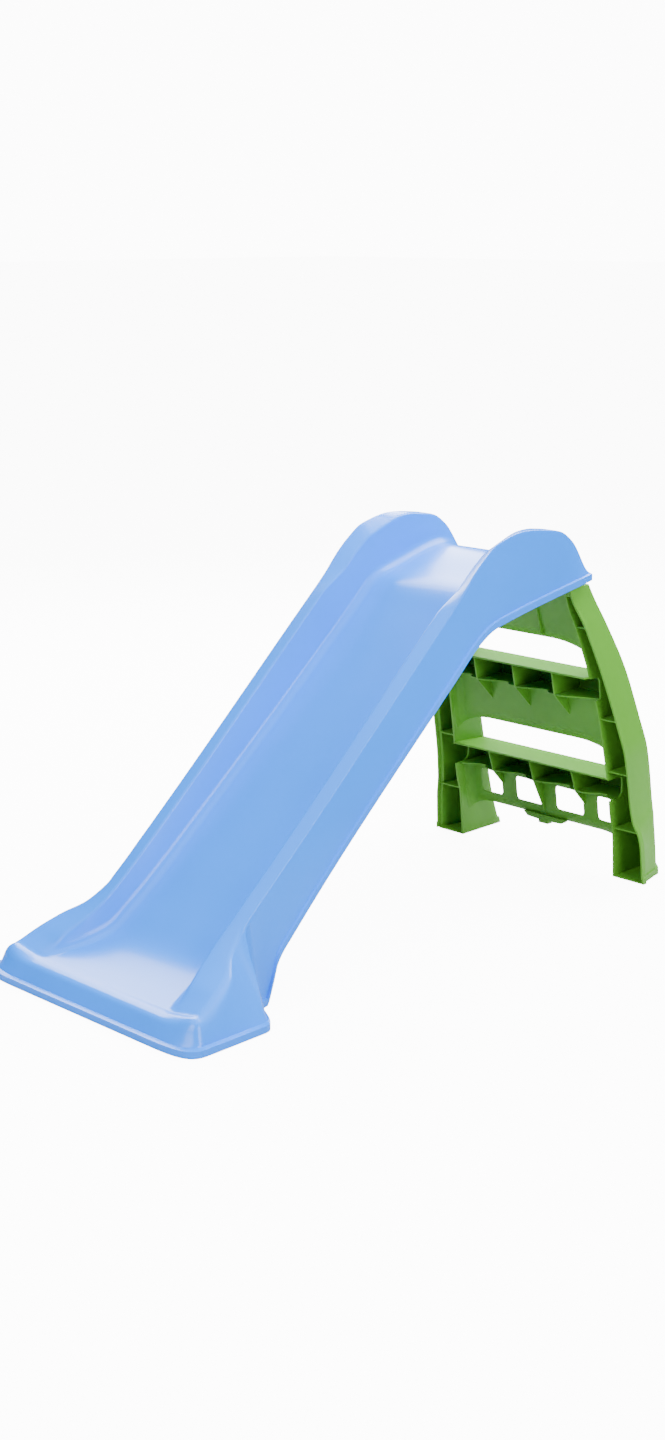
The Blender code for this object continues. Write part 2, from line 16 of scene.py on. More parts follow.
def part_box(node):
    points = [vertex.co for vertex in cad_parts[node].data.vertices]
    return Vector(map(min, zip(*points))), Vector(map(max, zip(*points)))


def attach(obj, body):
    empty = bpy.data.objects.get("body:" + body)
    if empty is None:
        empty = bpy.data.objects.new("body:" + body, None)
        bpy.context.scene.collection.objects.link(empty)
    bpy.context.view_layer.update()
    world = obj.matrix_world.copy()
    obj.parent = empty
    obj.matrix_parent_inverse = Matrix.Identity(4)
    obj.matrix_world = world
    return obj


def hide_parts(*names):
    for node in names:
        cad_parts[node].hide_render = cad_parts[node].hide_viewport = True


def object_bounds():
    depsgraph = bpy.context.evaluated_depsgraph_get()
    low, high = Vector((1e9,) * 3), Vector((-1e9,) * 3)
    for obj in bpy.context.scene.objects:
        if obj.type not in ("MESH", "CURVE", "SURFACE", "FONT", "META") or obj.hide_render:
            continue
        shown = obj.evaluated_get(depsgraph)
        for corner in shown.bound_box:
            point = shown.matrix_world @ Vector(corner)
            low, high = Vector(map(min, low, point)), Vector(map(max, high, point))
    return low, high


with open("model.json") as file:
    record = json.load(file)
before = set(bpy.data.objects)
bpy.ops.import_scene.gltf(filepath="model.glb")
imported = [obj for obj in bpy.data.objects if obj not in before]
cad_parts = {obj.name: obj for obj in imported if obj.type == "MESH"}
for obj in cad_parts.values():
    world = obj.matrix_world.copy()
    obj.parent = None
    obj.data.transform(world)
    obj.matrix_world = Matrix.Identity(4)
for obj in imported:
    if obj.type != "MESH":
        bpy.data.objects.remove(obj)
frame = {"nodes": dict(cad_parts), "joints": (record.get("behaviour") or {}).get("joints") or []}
cad_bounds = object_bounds()

# ---------------------------------------------------------------- sizes, in metres
SLIDE_WALL = 0.0030         # thickness of the slide's skin
LADDER_WALL = 0.0028        # thickness of the ladder's skin
RIB_WALL = 0.0022           # thickness of its ribs and gussets
EXIT_FRONT_Y = cad_bounds[0].y    # front edge of the slide
FOOT_TURN_Y = -0.491        # the front corners turn about points at this Y
REAR_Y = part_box("platform")[1].y    # rear edge of the slide
REAR_EDGE_Z = 0.4935        # height of the slide's rear edge
BAND = 0.011                # height of the border along the bottom of the outer wall
BAND_SLOPE = 0.001          # fall of the border's top towards its outer edge
REAR_TURN = 0.003           # drop of the skin over its last millimetre, where it turns down
EDGE_ROUND = 0.0007         # rounding of moulded edges
THIN_ROUND = 0.0004         # rounding of the edges of ribs, webs and shelves
THICK_ROUND = 0.0008        # rounding of the edges of solid blocks
SHARP = math.radians(38)    # edges that turn more than this are sharp

# ---------------------------------------------------------------- curves along the slide
# Each curve is a set of (Y, value) knots that smooth() reads between.
RIM_Z = ((-0.491, 0.044), (-0.460, 0.0575), (-0.425, 0.0735), (-0.395, 0.093), (-0.340, 0.137),
         (0.010, 0.450), (0.070, 0.505), (0.098, 0.535), (0.123, 0.556), (0.150, 0.5725),
         (0.210, 0.5835), (0.260, 0.5790), (0.293, 0.573), (0.321, 0.556), (0.343, 0.528),
         (0.3535, 0.5065))
# How far the rim's inner edge lies below its outer edge, RIM_Z.
RIM_DROP = ((-0.491, 0.0095), (-0.471, 0.0065), (-0.450, 0.0), (-0.420, -0.003),
            (0.040, -0.003), (0.070, 0.006), (0.092, 0.016), (0.150, 0.015), (0.180, 0.0115),
            (0.215, 0.004), (0.250, 0.0), (0.3535, 0.0))
BED_Z = ((-0.491, 0.0340), (-0.430, 0.0440), (-0.392, 0.0560), (-0.350, 0.0850),
         (-0.307, 0.118), (0.100, 0.4560), (0.134, 0.4862), (0.146, 0.4942), (0.158, 0.4990),
         (0.175, 0.5036), (0.290, 0.5285), (0.333, 0.519), (0.3535, 0.5035))
HEM_Z = ((-0.491, 0.0), (-0.334, 0.0), (-0.322, 0.026), (-0.312, 0.056), (-0.285, 0.087),
         (0.055, 0.398), (0.090, 0.429), (0.125, 0.449), (0.165, 0.459), (0.3535, 0.4935))
BED_X = ((-0.491, 0.130), (-0.450, 0.121), (-0.418, 0.113), (-0.380, 0.107), (-0.300, 0.103),
         (0.3535, 0.103))
RIM_IN_X = ((-0.491, 0.145), (-0.471, 0.138), (-0.450, 0.132), (-0.418, 0.122),
            (-0.383, 0.1165), (-0.340, 0.1150), (0.3535, 0.1150))
RIM_OUT_X = ((-0.491, 0.2000), (-0.460, 0.195), (-0.425, 0.180), (-0.393, 0.150),
             (-0.360, 0.1395), (0.3535, 0.1385))
HEM_X = ((-0.491, 0.2125), (-0.398, 0.2125), (-0.388, 0.2095), (-0.380, 0.2015),
         (-0.345, 0.1540), (-0.325, 0.1500), (0.3535, 0.1500))
BAND_OUT = ((-0.491, 0.0085), (-0.400, 0.0080), (-0.340, 0.0040), (0.3535, 0.0040))
CORNER_SQUARE = 0.50        # how much squarer than an ellipse a front corner is at its edge
RIDGE_REAR_Y = -0.360       # a ridge in the outer wall leaves the rim here
RIDGE_FRONT_Y = -0.392      # and has run down to the flange's rear corner here
RIDGE_BULGE = 0.009         # how far it stands out between them
RIDGE_ENDS = (0.06, 0.94)   # it stays this share of the wall's height away from both edges

# ---------------------------------------------------------------- curves up the ladder
# Each curve is a set of (Z, value) knots.  The front of the ladder faces the slide.
RAIL_IN_X = ((0.0, 0.160), (0.130, 0.1605), (0.200, 0.1580), (0.265, 0.1545), (0.340, 0.1460),
             (0.420, 0.1345), (0.455, 0.1290), (0.484, 0.1290))
RAIL_OUT_X = ((0.0, 0.2150), (0.062, 0.2125), (0.084, 0.2085), (0.104, 0.2025), (0.140, 0.1990),
              (0.215, 0.1965), (0.265, 0.1870), (0.340, 0.1710), (0.420, 0.1535), (0.470, 0.1430),
              (0.526, 0.1385))
RAIL_OUT_REAR_X = ((0.0, 0.2050), (0.104, 0.2025))  # the same wall behind the foot's crease
RAIL_FRONT_Y = ((0.0, 0.4290), (0.080, 0.4215), (0.105, 0.4140), (0.170, 0.4030),
                (0.250, 0.3865), (0.340, 0.3645), (0.400, 0.3455), (0.484, 0.3135))
RAIL_BACK_IN_Y = ((0.0, 0.5361), (0.060, 0.5150), (0.165, 0.4890), (0.265, 0.4600),
                  (0.340, 0.4390), (0.420, 0.4035), (0.484, 0.3680))
RAIL_BACK_OUT_Y = ((0.0, 0.4900), (0.100, 0.4830), (0.165, 0.4760), (0.265, 0.4560),
                   (0.340, 0.4370), (0.420, 0.4015), (0.484, 0.3670))
RAIL_TOP_Z = 0.484
RAIL_LIP = 0.0045           # how far the front border of a rail's outer wall stands out
RAIL_LIP_WIDE = 0.0085      # width of that border
LIP_TOP_Z = 0.460           # the border ends here, and has its full width LIP_FADE below
LIP_FADE = 0.030
TOE_BORDER = 0.0040         # how far the border round the foot stands out behind
TOE_BORDER_SIDE = 0.4       # and at the side, as a share of that
TOE_BORDER_Z = 0.0115       # height of that border
SOLE = 0.0035               # thickness of the plate under the foot
CREASE_TOP_Z = 0.105        # the crease on the outer wall starts at the front edge here
CREASE_LOW_Z = 0.015        # and has reached the back here
CREASE_BACK = 0.014         # how far it stays from the rail's back
CREASE_FRONT = 0.004        # and from the border in front
RIB_LEVELS = (0.085, 0.182, 0.270, 0.420)
HEAD_RADIUS = 0.0140        # rounded top of each rail, about the pivot
HEAD_IN_X = 0.1295
HEAD_OUT_X = 0.1385
HEAD_TONGUE = ((0.3195, 0.4700), (0.3420, 0.4650), (0.3520, 0.4740))    # (Y, Z), in the rail
BORE_CLEARANCE = 0.0001

# Each riser panel: (Y, Z) of one point in its middle plane, and its lean dY/dZ.
PANEL_LOWER = (0.4475, 0.102, -0.16)
PANEL_MIDDLE = (0.4060, 0.260, -0.22)
PANEL_TOP = (0.3640, 0.395, -0.36)
PANEL_FILLET = 0.015        # bend of a panel's ends into the rails
ARCH_WIDE = 2.5             # width of the arch at each end of its lower edge, for a height of 1
PANEL_CURL = 0.0045         # how far its lower edge turns back
CURL_HEIGHT = 0.016         # over this height
PANEL_ROUND = 0.0005        # rounding of a panel's edges
PANEL_JOIN = 0.0012         # how far a panel's ends run into the rails' inner walls
# Bottom and top of each panel, and the height of the arches at its lower corners.
LOWER_SPAN = (0.0645, 0.1320, 0.020)
MIDDLE_SPAN = (0.2220, 0.2995, 0.027)
TOP_SPAN = (0.3900, 0.4780, 0.030)
# The rib in front of the top panel: its X, and (Z, how far it stands out) down its edge.
TOP_RIB_X = 0.055
TOP_RIB = ((0.448, 0.0), (0.444, 0.005), (0.410, 0.006), (0.396, 0.0085), (0.392, 0.0))

STEP_LOWER = {"front": 0.4010, "back": 0.4860, "top": 0.1716, "rear_top": 0.1670,
              "shelf": 0.1310, "shelf_front": 0.4190, "panel": PANEL_LOWER,
              "gussets": ((-0.0865, 0.1020), (0.0, 0.0680), (0.0865, 0.1020)),
              "cut": (0.4410, 0.1322, 0.1672, 0.014, 0.007), "sweeps": False}
STEP_UPPER = {"front": 0.3510, "back": 0.4300, "top": 0.3405, "rear_top": 0.3370,
              "shelf": 0.2990, "shelf_front": 0.3645, "panel": PANEL_MIDDLE,
              "gussets": ((-0.080, 0.2595), (0.0, 0.2595), (0.080, 0.2595)),
              "cut": (0.3880, 0.3002, 0.3360, 0.004, 0.007), "sweeps": True}
# A cut is the opening in a rail's inner wall at the end of a step: its back, bottom and top,
# and the radii of its lower and upper rear corners.
STEP_PLATE = 0.0028         # thickness of a step's top and nosing
SHELF_PLATE = 0.0024        # thickness of its shelf
NOSE_RADIUS = 0.008         # rounding of its rear edge
NOSE_ROUND = 0.0006         # rounding of its other edges
STEP_REACH = 0.150          # half its length, before it is fitted between the rails
# A shelf's front edge in a bay: (share of the way across, distance back).
SHELF_WAVE = ((0.0, 0.0), (0.06, -0.0008), (0.12, -0.001), (0.18, 0.0006), (0.25, 0.003),
              (0.32, 0.0066), (0.38, 0.010), (0.44, 0.0126), (0.50, 0.0145), (0.56, 0.0156),
              (0.62, 0.016), (0.68, 0.0160), (0.705, 0.0150), (0.71, 0.0135), (0.70, 0.0118),
              (0.715, 0.0100), (0.76, 0.0056), (0.80, 0.0036), (0.85, 0.0026), (0.92, 0.0012))
SHELF_SWEEP = ((0.0, 0.0), (0.06, -0.0008), (0.12, -0.001), (0.20, 0.0004), (0.30, 0.0032),
               (0.42, 0.0072), (0.55, 0.0120), (0.70, 0.0175), (0.85, 0.0215), (1.0, 0.0235))
WINDOWS = ((-0.134, -0.0890), (-0.0590, -0.0040), (0.0254, 0.0830), (0.1110, 0.1420))
WINDOW_LOW, WINDOW_HIGH, WINDOW_RADIUS = 0.0820, 0.1240, 0.007


# ---------------------------------------------------------------- small helpers
def smooth(place, knots):
    """Value at a place on a curve through the knots that never overshoots them."""
    if place <= knots[0][0]:
        return knots[0][1]
    if place >= knots[-1][0]:
        return knots[-1][1]
    gaps = [b[0] - a[0] for a, b in zip(knots, knots[1:])]
    slopes = [(b[1] - a[1]) / gap for a, b, gap in zip(knots, knots[1:], gaps)]
    tangents = [slopes[0]]
    for left, right in zip(slopes, slopes[1:]):
        tangents.append(0.0 if left * right <= 0 else 2 * left * right / (left + right))
    tangents.append(slopes[-1])
    k = max(i for i in range(len(gaps)) if knots[i][0] <= place)
    t = (place - knots[k][0]) / gaps[k]
    a, b = knots[k][1], knots[k + 1][1]
    ta, tb = tangents[k] * gaps[k], tangents[k + 1] * gaps[k]
    return (a * (2 * t**3 - 3 * t**2 + 1) + ta * (t**3 - 2 * t**2 + t)
            + b * (3 * t**2 - 2 * t**3) + tb * (t**3 - t**2))


def spread(start, end, count):
    """Evenly spaced places from start to end, both included."""
    return [start + (end - start) * i / (count - 1) for i in range(count)]


def rounded(corners, setbacks, steps):
    """A polyline through corners, each rounded by a curve that starts a setback away."""
    points = [corners[0]]
    for k in range(1, len(corners) - 1):
        corner = corners[k]
        if steps[k] == 0:
            points.append(corner)
            continue
        before = corners[k - 1] - corner
        after = corners[k + 1] - corner
        reach = min(setbacks[k], 0.45 * before.length, 0.45 * after.length)
        start = corner + before.normalized() * reach
        end = corner + after.normalized() * reach
        for i in range(steps[k] + 1):
            t = i / steps[k]
            points.append(start * (1 - t)**2 + corner * 2 * t * (1 - t) + end * t**2)
    points.append(corners[-1])
    return points


def mirrored(rows):
    """The same rows on the other side of X = 0."""
    return [[Vector((-p.x, p.y, p.z)) for p in row] for row in rows]


def add_piece(name, mesh, body, nodes, finish):
    """A piece that rides on a body and stands for the CAD nodes named, if any."""
    made = bpy.data.objects.new(name, mesh)
    bpy.context.scene.collection.objects.link(made)
    mesh.materials.append(finish)
    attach(made, body)
    if nodes:
        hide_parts(*nodes)
    return made


def sheet_mesh(name, grids):
    """Open surfaces lofted through rows of points; a flipped grid faces the other way."""
    mesh = bpy.data.meshes.new(name)
    bm = bmesh.new()
    for rows, flip in grids:
        grid = [[bm.verts.new(point) for point in row] for row in rows]
        for row, next_row in zip(grid, grid[1:]):
            for i in range(len(row) - 1):
                loop = [row[i], row[i + 1], next_row[i + 1], next_row[i]]
                bm.faces.new(loop[::-1] if flip else loop)
    bmesh.ops.remove_doubles(bm, verts=bm.verts, dist=1e-6)
    bm.to_mesh(mesh)
    bm.free()
    mesh.shade_smooth()
    return mesh


def thicken(made, thickness):
    """Turn a skin into a wall behind it, with its sharp edges rounded as a mould leaves them."""
    wall = made.modifiers.new("wall", "SOLIDIFY")
    wall.thickness = thickness
    wall.offset = -1.0
    wall.use_even_offset = True
    wall.use_quality_normals = True
    round_edges(made)


def round_edges(made, width=EDGE_ROUND):
    """Round an object's sharp edges with a narrow bevel."""
    edges = made.modifiers.new("edges", "BEVEL")
    edges.width = width
    edges.segments = 2
    edges.limit_method = "ANGLE"
    edges.angle_limit = SHARP
    edges.harden_normals = True


# ---------------------------------------------------------------- the slide moulding
ROUND_STEPS = (0, 10, 6, 8, 0, 0, 0, 0)    # divisions of each rounded corner of a section
BORDER_POINTS = 2                      # the last points of a half row, on the border
BED_POINT = 1                          # index of a half row's first point on a fillet


def half_section(y):
    """Corners of the right half of the slide's skin at a station, from the middle outwards."""
    bed_z = smooth(y, BED_Z)
    rim_z = smooth(y, RIM_Z)
    hem_x = smooth(y, HEM_X)
    band_x = hem_x + smooth(y, BAND_OUT)
    band_z = smooth(y, HEM_Z) + BAND
    share = (RIDGE_REAR_Y - y) / (RIDGE_REAR_Y - RIDGE_FRONT_Y)
    share = min(RIDGE_ENDS[1], max(RIDGE_ENDS[0], share))
    bulge = RIDGE_BULGE * math.sin(math.pi * share)**2
    rim_x = smooth(y, RIM_OUT_X)
    ridge = (rim_x + (hem_x - rim_x) * share + bulge, rim_z + (band_z - rim_z) * share)
    corners = ((0.0, bed_z), (smooth(y, BED_X), bed_z),
               (smooth(y, RIM_IN_X), rim_z - smooth(y, RIM_DROP)), (rim_x, rim_z), ridge,
               (hem_x, band_z), (band_x, band_z - BAND_SLOPE), (band_x, band_z - BAND))
    return [Vector((x, y, z)) for x, z in corners]


def corner_setbacks(y):
    """How far each corner's rounding reaches: crisp along the chute, soft on the exit foot."""
    soft = min(1.0, max(0.0, (-0.395 - y) / 0.06))
    return (0.0, 0.016, 0.004 + 0.003 * soft, 0.007 + 0.010 * soft, 0.0, 0.0, 0.0, 0.0)


def half_row(y):
    """The right half of the slide's skin at a station, with its corners rounded."""
    return rounded(half_section(y), corner_setbacks(y), ROUND_STEPS)


def rear_rows(half):
    """Two more rows that turn the skin down at the rear edge."""
    edge = [Vector((p.x, REAR_Y, max(REAR_EDGE_Z, p.z - REAR_TURN))) for p in half]
    return [edge, [Vector((p.x, REAR_Y, REAR_EDGE_Z)) for p in edge]]


def foot_front_row():
    """The skin from the bed's front over the rounded bar down to the floor, at X = 0."""
    reach = EXIT_FRONT_Y - FOOT_TURN_Y
    corners = ((0.0, 0.0340), (0.0, 0.0340), (0.20 * reach, 0.0338), (0.50 * reach, 0.0315),
               (0.67 * reach, 0.0210), (0.83 * reach, 0.0110), (reach, 0.0100), (reach, 0.0))
    corners = [Vector((0.0, FOOT_TURN_Y + y, z)) for y, z in corners]
    corners[1].y -= 0.003
    return rounded(corners, (0.0, 0.0013, 0.003, 0.010, 0.0, 0.0, 0.0, 0.0), ROUND_STEPS)[1:]


def slide_stations():
    """Places along Y of the slide's sections, closer where its shape changes quickly."""
    return (spread(FOOT_TURN_Y, -0.401, 19) + spread(-0.398, -0.344, 12)
            + spread(-0.340, -0.284, 18) + spread(-0.275, 0.030, 12) + spread(0.040, 0.285, 36)
            + spread(0.290, 0.340, 14) + [0.3435, 0.3465, 0.349, 0.351, 0.3525, 0.3535])


def build_slide(finish):
    """The whole slide as one skin: sides, front corners and bed, turned down at the rear."""
    rows = [half_row(y) for y in slide_stations()]
    rows += rear_rows(rows[-1])
    side, front = rows[0][BED_POINT:], foot_front_row()
    turn = side[0]
    front[0] = Vector((0.0, turn.y, turn.z))
    front_rows = []
    for share in spread(0.0, 1.0, 7):
        front_rows.append([Vector((turn.x * share, p.y, p.z)) for p in front])
    for angle in spread(90.0, 3.6, 25)[1:]:
        out, ahead = math.cos(math.radians(angle)), math.sin(math.radians(angle))
        row = []
        for k, (s, f) in enumerate(zip(side, front)):
            square = 1.0 - CORNER_SQUARE * k / (len(side) - 1)
            row.append(Vector((turn.x + (s.x - turn.x) * out**square,
                               turn.y + (f.y - turn.y) * ahead**square,
                               s.z + (f.z - s.z) * ahead**2)))
        front_rows.append(row)
    turned = [row[BED_POINT:-BORDER_POINTS] for row in rows[-3:]]
    ring = front_rows + [row[BED_POINT:] for row in rows[:-2]]
    bed = []
    for row in rows:
        half = [Vector((row[BED_POINT].x * share, row[0].y, row[0].z))
                for share in spread(0.0, 1.0, 7)]
        bed.append([Vector((-p.x, p.y, p.z)) for p in reversed(half[1:])] + half)
    grids = [(ring, False), (mirrored(ring), True), (bed, False), (turned, False),
             (mirrored(turned), True)]
    mesh = sheet_mesh("slide_moulding", grids)
    nodes = ("chute", "exit_foot", "platform", "handrail_left", "handrail_right")
    made = add_piece("slide_moulding", mesh, "slide", nodes, finish)
    thicken(made, SLIDE_WALL)


# ---------------------------------------------------------------- the ladder moulding
# How an outline and its depth turn to lie across each axis.
PLATE_TURNS = {"X": Matrix(((0, 0, 1), (1, 0, 0), (0, 1, 0))),
               "Y": Matrix(((1, 0, 0), (0, 0, 1), (0, 1, 0))),
               "Z": Matrix.Identity(3)}


def arc(centre, radius, start, end, count):
    """Points on a circular arc in a plane, with the angles in degrees."""
    return [(centre[0] + radius * math.cos(math.radians(a)),
             centre[1] + radius * math.sin(math.radians(a))) for a in spread(start, end, count)]


def slab_mesh(name, outlines, depth, across, centre):
    """Flat plates: each outline extruded by depth about its centre across one axis."""
    mesh = bpy.data.meshes.new(name)
    bm = bmesh.new()
    for outline, middle in zip(outlines, centre):
        low = [bm.verts.new((u, v, middle - depth / 2)) for u, v in outline]
        high = [bm.verts.new((u, v, middle + depth / 2)) for u, v in outline]
        bm.faces.new(low)
        bm.faces.new(high)
        for i in range(len(outline)):
            bm.faces.new((low[i - 1], low[i], high[i], high[i - 1]))
    bm.transform(PLATE_TURNS[across].to_4x4())
    bmesh.ops.recalc_face_normals(bm, faces=bm.faces)
    bm.to_mesh(mesh)
    bm.free()
    mesh.shade_smooth()
    mesh.set_sharp_from_angle(angle=SHARP)
    return mesh


def settle(made):
    """Apply the modifiers that an object has so far."""
    depsgraph = bpy.context.evaluated_depsgraph_get()
    mesh = bpy.data.meshes.new_from_object(made.evaluated_get(depsgraph))
    made.modifiers.clear()
    made.data = mesh


def cut_away(made, mesh):
    """Cut a closed mesh out of an object."""
    tool = bpy.data.objects.new("tool", mesh)
    bpy.context.scene.collection.objects.link(tool)
    step = made.modifiers.new("cut", "BOOLEAN")
    step.operation = "DIFFERENCE"
    step.object = tool
    settle(made)
    bpy.data.objects.remove(tool)


RAIL_ROUND_STEPS = (0, 8, 8, 0, 0, 0, 0)    # divisions of each rounded corner of a section
CHANNEL_POINTS = 21                         # points of a rail's section before its front border


def cut_back(z, cut):
    """How far back the opening for a step reaches in a rail's inner wall at a height."""
    back, low, high, low_radius, high_radius = cut
    if z < low or z > high:
        return 0.0
    below = max(0.0, low + low_radius - z)
    above = max(0.0, z - (high - high_radius))
    return (back - low_radius - high_radius + math.sqrt(max(0.0, low_radius**2 - below**2))
            + math.sqrt(max(0.0, high_radius**2 - above**2)))


def rail_row(z):
    """The rail's skin at a height: inner wall, back and outer wall of a channel open in front."""
    border = TOE_BORDER if z < TOE_BORDER_Z else 0.0
    lip = RAIL_LIP * min(1.0, max(0.0, (LIP_TOP_Z - z) / LIP_FADE))
    in_x, out_x = smooth(z, RAIL_IN_X), smooth(z, RAIL_OUT_X) + TOE_BORDER_SIDE * border
    rear_x = out_x if z > CREASE_TOP_Z else smooth(z, RAIL_OUT_REAR_X) + TOE_BORDER_SIDE * border
    front = smooth(z, RAIL_FRONT_Y)
    start = max(front, cut_back(z, STEP_LOWER["cut"]), cut_back(z, STEP_UPPER["cut"]))
    back_in = smooth(z, RAIL_BACK_IN_Y) + border
    back_out = smooth(z, RAIL_BACK_OUT_Y) + border
    fall = min(1.0, max(0.0, (z - CREASE_LOW_Z) / (CREASE_TOP_Z - CREASE_LOW_Z)))
    start_y = front + RAIL_LIP_WIDE + CREASE_FRONT
    crease = start_y + (back_out - CREASE_BACK - start_y) * math.sqrt(1.0 - fall**2)
    corners = ((in_x, start), (in_x, back_in), (rear_x - 0.002, back_out), (rear_x, crease),
               (out_x, front + RAIL_LIP_WIDE + 0.0012), (out_x + lip, front + RAIL_LIP_WIDE),
               (out_x + lip, front))
    return rounded([Vector((x, y, z)) for x, y in corners],
                   (0.0, 0.016, 0.012, 0.0, 0.0, 0.0, 0.0), RAIL_ROUND_STEPS)


def rail_fill(z, inset, front_inset):
    """Outline of the channel at a height, for a sole or a rib that fills it."""
    row = rail_row(z)
    front = smooth(z, RAIL_FRONT_Y)
    row[0].y = front
    row = row[:CHANNEL_POINTS] + [Vector((row[CHANNEL_POINTS - 1].x, front, z))]
    middle = Vector((sum(p.x for p in row) / len(row), sum(p.y for p in row) / len(row), 0.0))
    points = []
    for p in row:
        inward = middle - Vector((p.x, p.y, 0.0))
        moved = Vector((p.x, p.y, 0.0)) + inward.normalized() * inset
        points.append((moved.x, max(moved.y, front + front_inset)))
    return points


def rail_levels():
    """Heights of the rail's sections, closer where its shape changes quickly."""
    levels = [0.0012, 0.006, 0.0105, 0.0114, 0.0116, 0.0128] + spread(0.016, 0.128, 26)
    for step in (STEP_LOWER, STEP_UPPER):
        low, high = step["cut"][1], step["cut"][2]
        levels += [low - 0.0002, low + 0.0002] + spread(low + 0.0012, high - 0.0012, 14)
        levels += [high - 0.0002, high + 0.0002]
    levels += spread(0.172, 0.296, 16) + spread(0.341, RAIL_TOP_Z, 18)
    return sorted(levels)


def build_rail(side, finish):
    """A side rail: its channel, the sole and cross webs in it, and its head on the pivot."""
    name = "rail_right" if side > 0 else "rail_left"
    rows = [rail_row(z) for z in rail_levels()]
    if side < 0:
        rows = mirrored(rows)
    made = add_piece(name + "_shell", sheet_mesh(name + "_shell", [(rows, side > 0)]), "ladder",
                     (name,), finish)
    thicken(made, LADDER_WALL)
    levels = (SOLE / 2,) + RIB_LEVELS
    outlines = [[(side * x, y) for x, y in rail_fill(z, 0.0015, 0.0035 if z > SOLE else 0.001)]
                for z in levels]
    webs = add_piece(name + "_webs", slab_mesh(name + "_webs", outlines, RIB_WALL, "Z", levels),
                     "ladder", (), finish)
    round_edges(webs, THIN_ROUND)
    pivot = frame["joints"][0]["pos_m"]
    head = (arc((pivot[1], pivot[2]), HEAD_RADIUS, -35, 190, 40)
            + list(HEAD_TONGUE))
    mesh = slab_mesh(name + "_head", [head], HEAD_OUT_X - HEAD_IN_X, "X",
                     [side * (HEAD_OUT_X + HEAD_IN_X) / 2])
    head = add_piece(name + "_head", mesh, "ladder", (), finish)
    low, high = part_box("pivot_pin_right")
    bore = arc((pivot[1], pivot[2]), (high.z - low.z) / 2 + BORE_CLEARANCE, 0, 345, 24)
    cut_away(head, slab_mesh("bore", [bore], 0.03, "X", [side * (HEAD_OUT_X + HEAD_IN_X) / 2]))
    round_edges(head, THICK_ROUND)


def panel_y(panel, z):
    """Y of a riser panel's middle plane at a height."""
    return panel[0] + panel[2] * (z - panel[1])


def panel_point(panel, bottom, top, corner, share, height):
    """A point of a riser panel, at shares from its middle to its right end and up its height."""
    end = smooth(bottom, RAIL_IN_X)
    reach = end * share
    inside = max(0.0, min(1.0, (reach - (end - ARCH_WIDE * corner)) / (ARCH_WIDE * corner)))
    low = bottom - corner * (1.0 - math.sqrt(max(0.0, 1.0 - inside**2)))
    z = low + (top - low) * height
    width = smooth(z, RAIL_IN_X) + PANEL_JOIN
    x = width * share
    into = max(0.0, x - (width - PANEL_FILLET))
    bend = PANEL_FILLET - math.sqrt(max(0.0, PANEL_FILLET**2 - into**2))
    curl = PANEL_CURL * max(0.0, 1.0 - (z - low) / CURL_HEIGHT)**2
    return Vector((x, panel_y(panel, z) - bend + curl, z))


def build_panel(name, panel, bottom, top, corner, finish):
    """A riser panel with an arched lower edge, bent forward at its ends into the rails."""
    shares = spread(0.0, 0.50, 8) + spread(0.54, 0.88, 16) + spread(0.89, 1.0, 16)
    heights = spread(0.0, 0.28, 10) + spread(0.34, 1.0, 10)
    columns = [[panel_point(panel, bottom, top, corner, share, height) for height in heights]
               for share in shares]
    columns = mirrored(columns[:0:-1]) + columns
    made = add_piece(name + "_sheet", sheet_mesh(name + "_sheet", [(columns, False)]), "ladder",
                     (name,), finish)
    wall = made.modifiers.new("wall", "SOLIDIFY")
    wall.thickness = LADDER_WALL
    wall.offset = 0.0
    wall.use_even_offset = True
    return made


def window(left, right):
    """A rounded rectangular loop."""
    loop = []
    radius = WINDOW_RADIUS
    for x, z, start in ((right, WINDOW_HIGH, 0), (left, WINDOW_HIGH, 90), (left, WINDOW_LOW, 180),
                        (right, WINDOW_LOW, 270)):
        centre = (x - math.copysign(radius, x - (left + right) / 2),
                  z - math.copysign(radius, z - (WINDOW_LOW + WINDOW_HIGH) / 2))
        loop += arc(centre, radius, start, start + 90, 8)
    return loop


def build_panels(finish):
    """The three riser panels, the lowest with windows and the top one with a rib in front."""
    lower = build_panel("panel_lower", PANEL_LOWER, *LOWER_SPAN, finish)
    settle(lower)
    loops = [window(left, right) for left, right in WINDOWS]
    cut_away(lower, slab_mesh("windows", loops, 0.08, "Y", [PANEL_LOWER[0]] * len(loops)))
    lower.data.shade_smooth()
    lower.data.set_sharp_from_angle(angle=SHARP)
    for name, panel, span in (("panel_middle", PANEL_MIDDLE, MIDDLE_SPAN),
                              ("panel_top", PANEL_TOP, TOP_SPAN)):
        round_edges(build_panel(name, panel, *span, finish), PANEL_ROUND)
    rib = [(panel_y(PANEL_TOP, z) - out, z) for z, out in TOP_RIB]
    mesh = slab_mesh("panel_top_rib", [rib], RIB_WALL, "X", [TOP_RIB_X])
    made = add_piece("panel_top_rib", mesh, "ladder", (), finish)
    round_edges(made, THIN_ROUND)


def shelf_edge(gussets, front, back, sweeps):
    """Front edge of a shelf, a skewed wave with a small notch in each bay between gussets.

    The last bay may sweep back to the rail instead.
    """
    posts = [-STEP_REACH] + [x for x, tip in gussets] + [STEP_REACH]
    edge = []
    for left, right in zip(posts, posts[1:]):
        wave = SHELF_SWEEP if sweeps and right == STEP_REACH else SHELF_WAVE
        edge += [(left + share * (right - left), front + away) for share, away in wave]
    if not sweeps:
        edge.append((STEP_REACH, front))
    return edge + [(STEP_REACH, back), (-STEP_REACH, back)]


